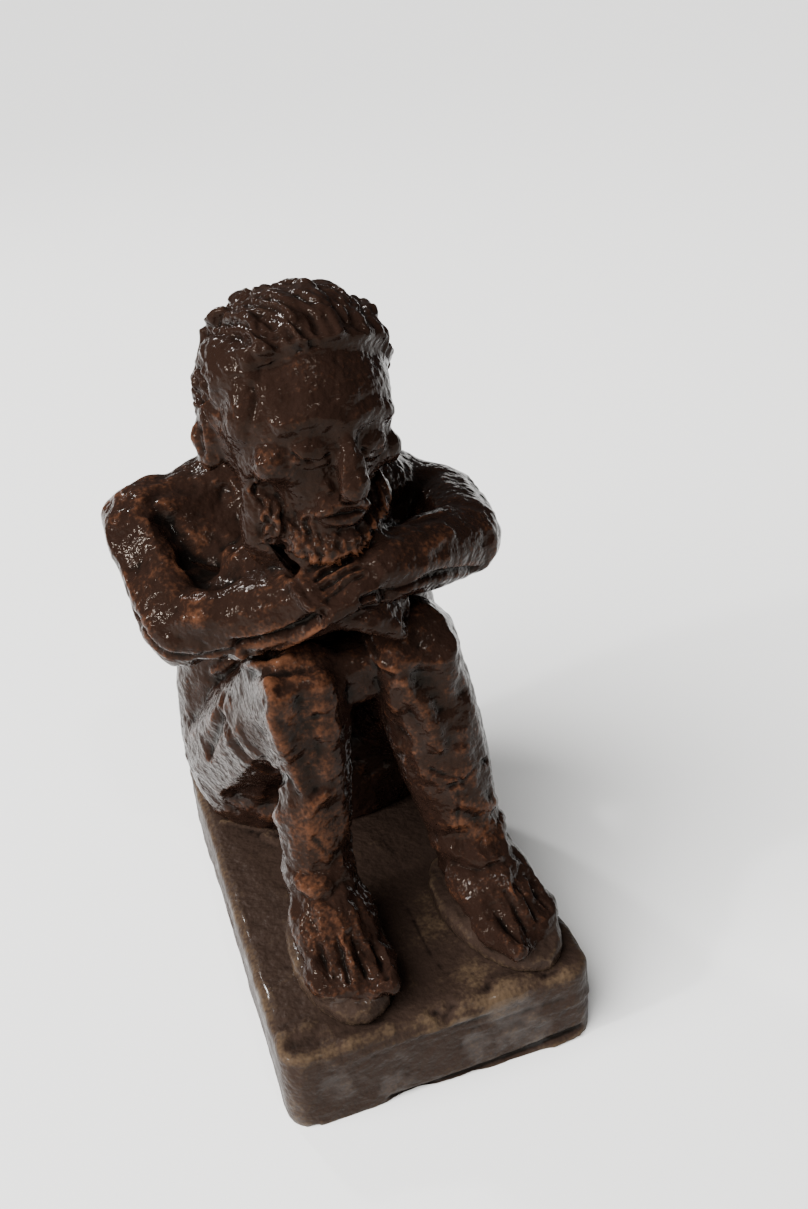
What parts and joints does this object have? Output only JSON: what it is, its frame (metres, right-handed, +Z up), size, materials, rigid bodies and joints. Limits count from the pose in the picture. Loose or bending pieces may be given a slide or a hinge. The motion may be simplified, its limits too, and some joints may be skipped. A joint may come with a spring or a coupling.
{
  "type": "seated figure sculpture",
  "caption": "Glazed clay figure of a seated man with drawn-up knees, arms crossed on them and head turned, on a rectangular slab plinth; a free-standing ornament or paperweight.",
  "frame": {"origin": "on the surface that the plinth stands on, under the middle of the whole figure's box", "axes": "+Z up, the figure faces -Y, and his left side is at +X"},
  "size_m": [0.1146, 0.156, 0.2207],
  "materials": {
    "glaze_body": "dark brown gloss glaze that thins to orange-brown on the raised forms",
    "glaze_hair": "the same glaze, thick and near black in the grooves of the hair",
    "glaze_plinth": "brown glaze, brushed and worn to a satin on the front and the edges"
  },
  "bodies": {
    "root": {"plinth": "glaze_plinth", "torso": "glaze_body", "neck": "glaze_body", "head": "glaze_body", "nose": "glaze_body", "right_ear": "glaze_body", "left_ear": "glaze_body", "hair": "glaze_hair", "right_thigh": "glaze_body", "left_thigh": "glaze_body", "right_shin": "glaze_body", "left_shin": "glaze_body", "right_foot": "glaze_body", "left_foot": "glaze_body", "right_foot_pad": "glaze_plinth", "left_foot_pad": "glaze_plinth", "right_upper_arm": "glaze_body", "left_upper_arm": "glaze_body", "right_forearm": "glaze_body", "left_forearm": "glaze_body", "right_hand": "glaze_body", "left_hand": "glaze_body"}
  },
  "joints": []
}
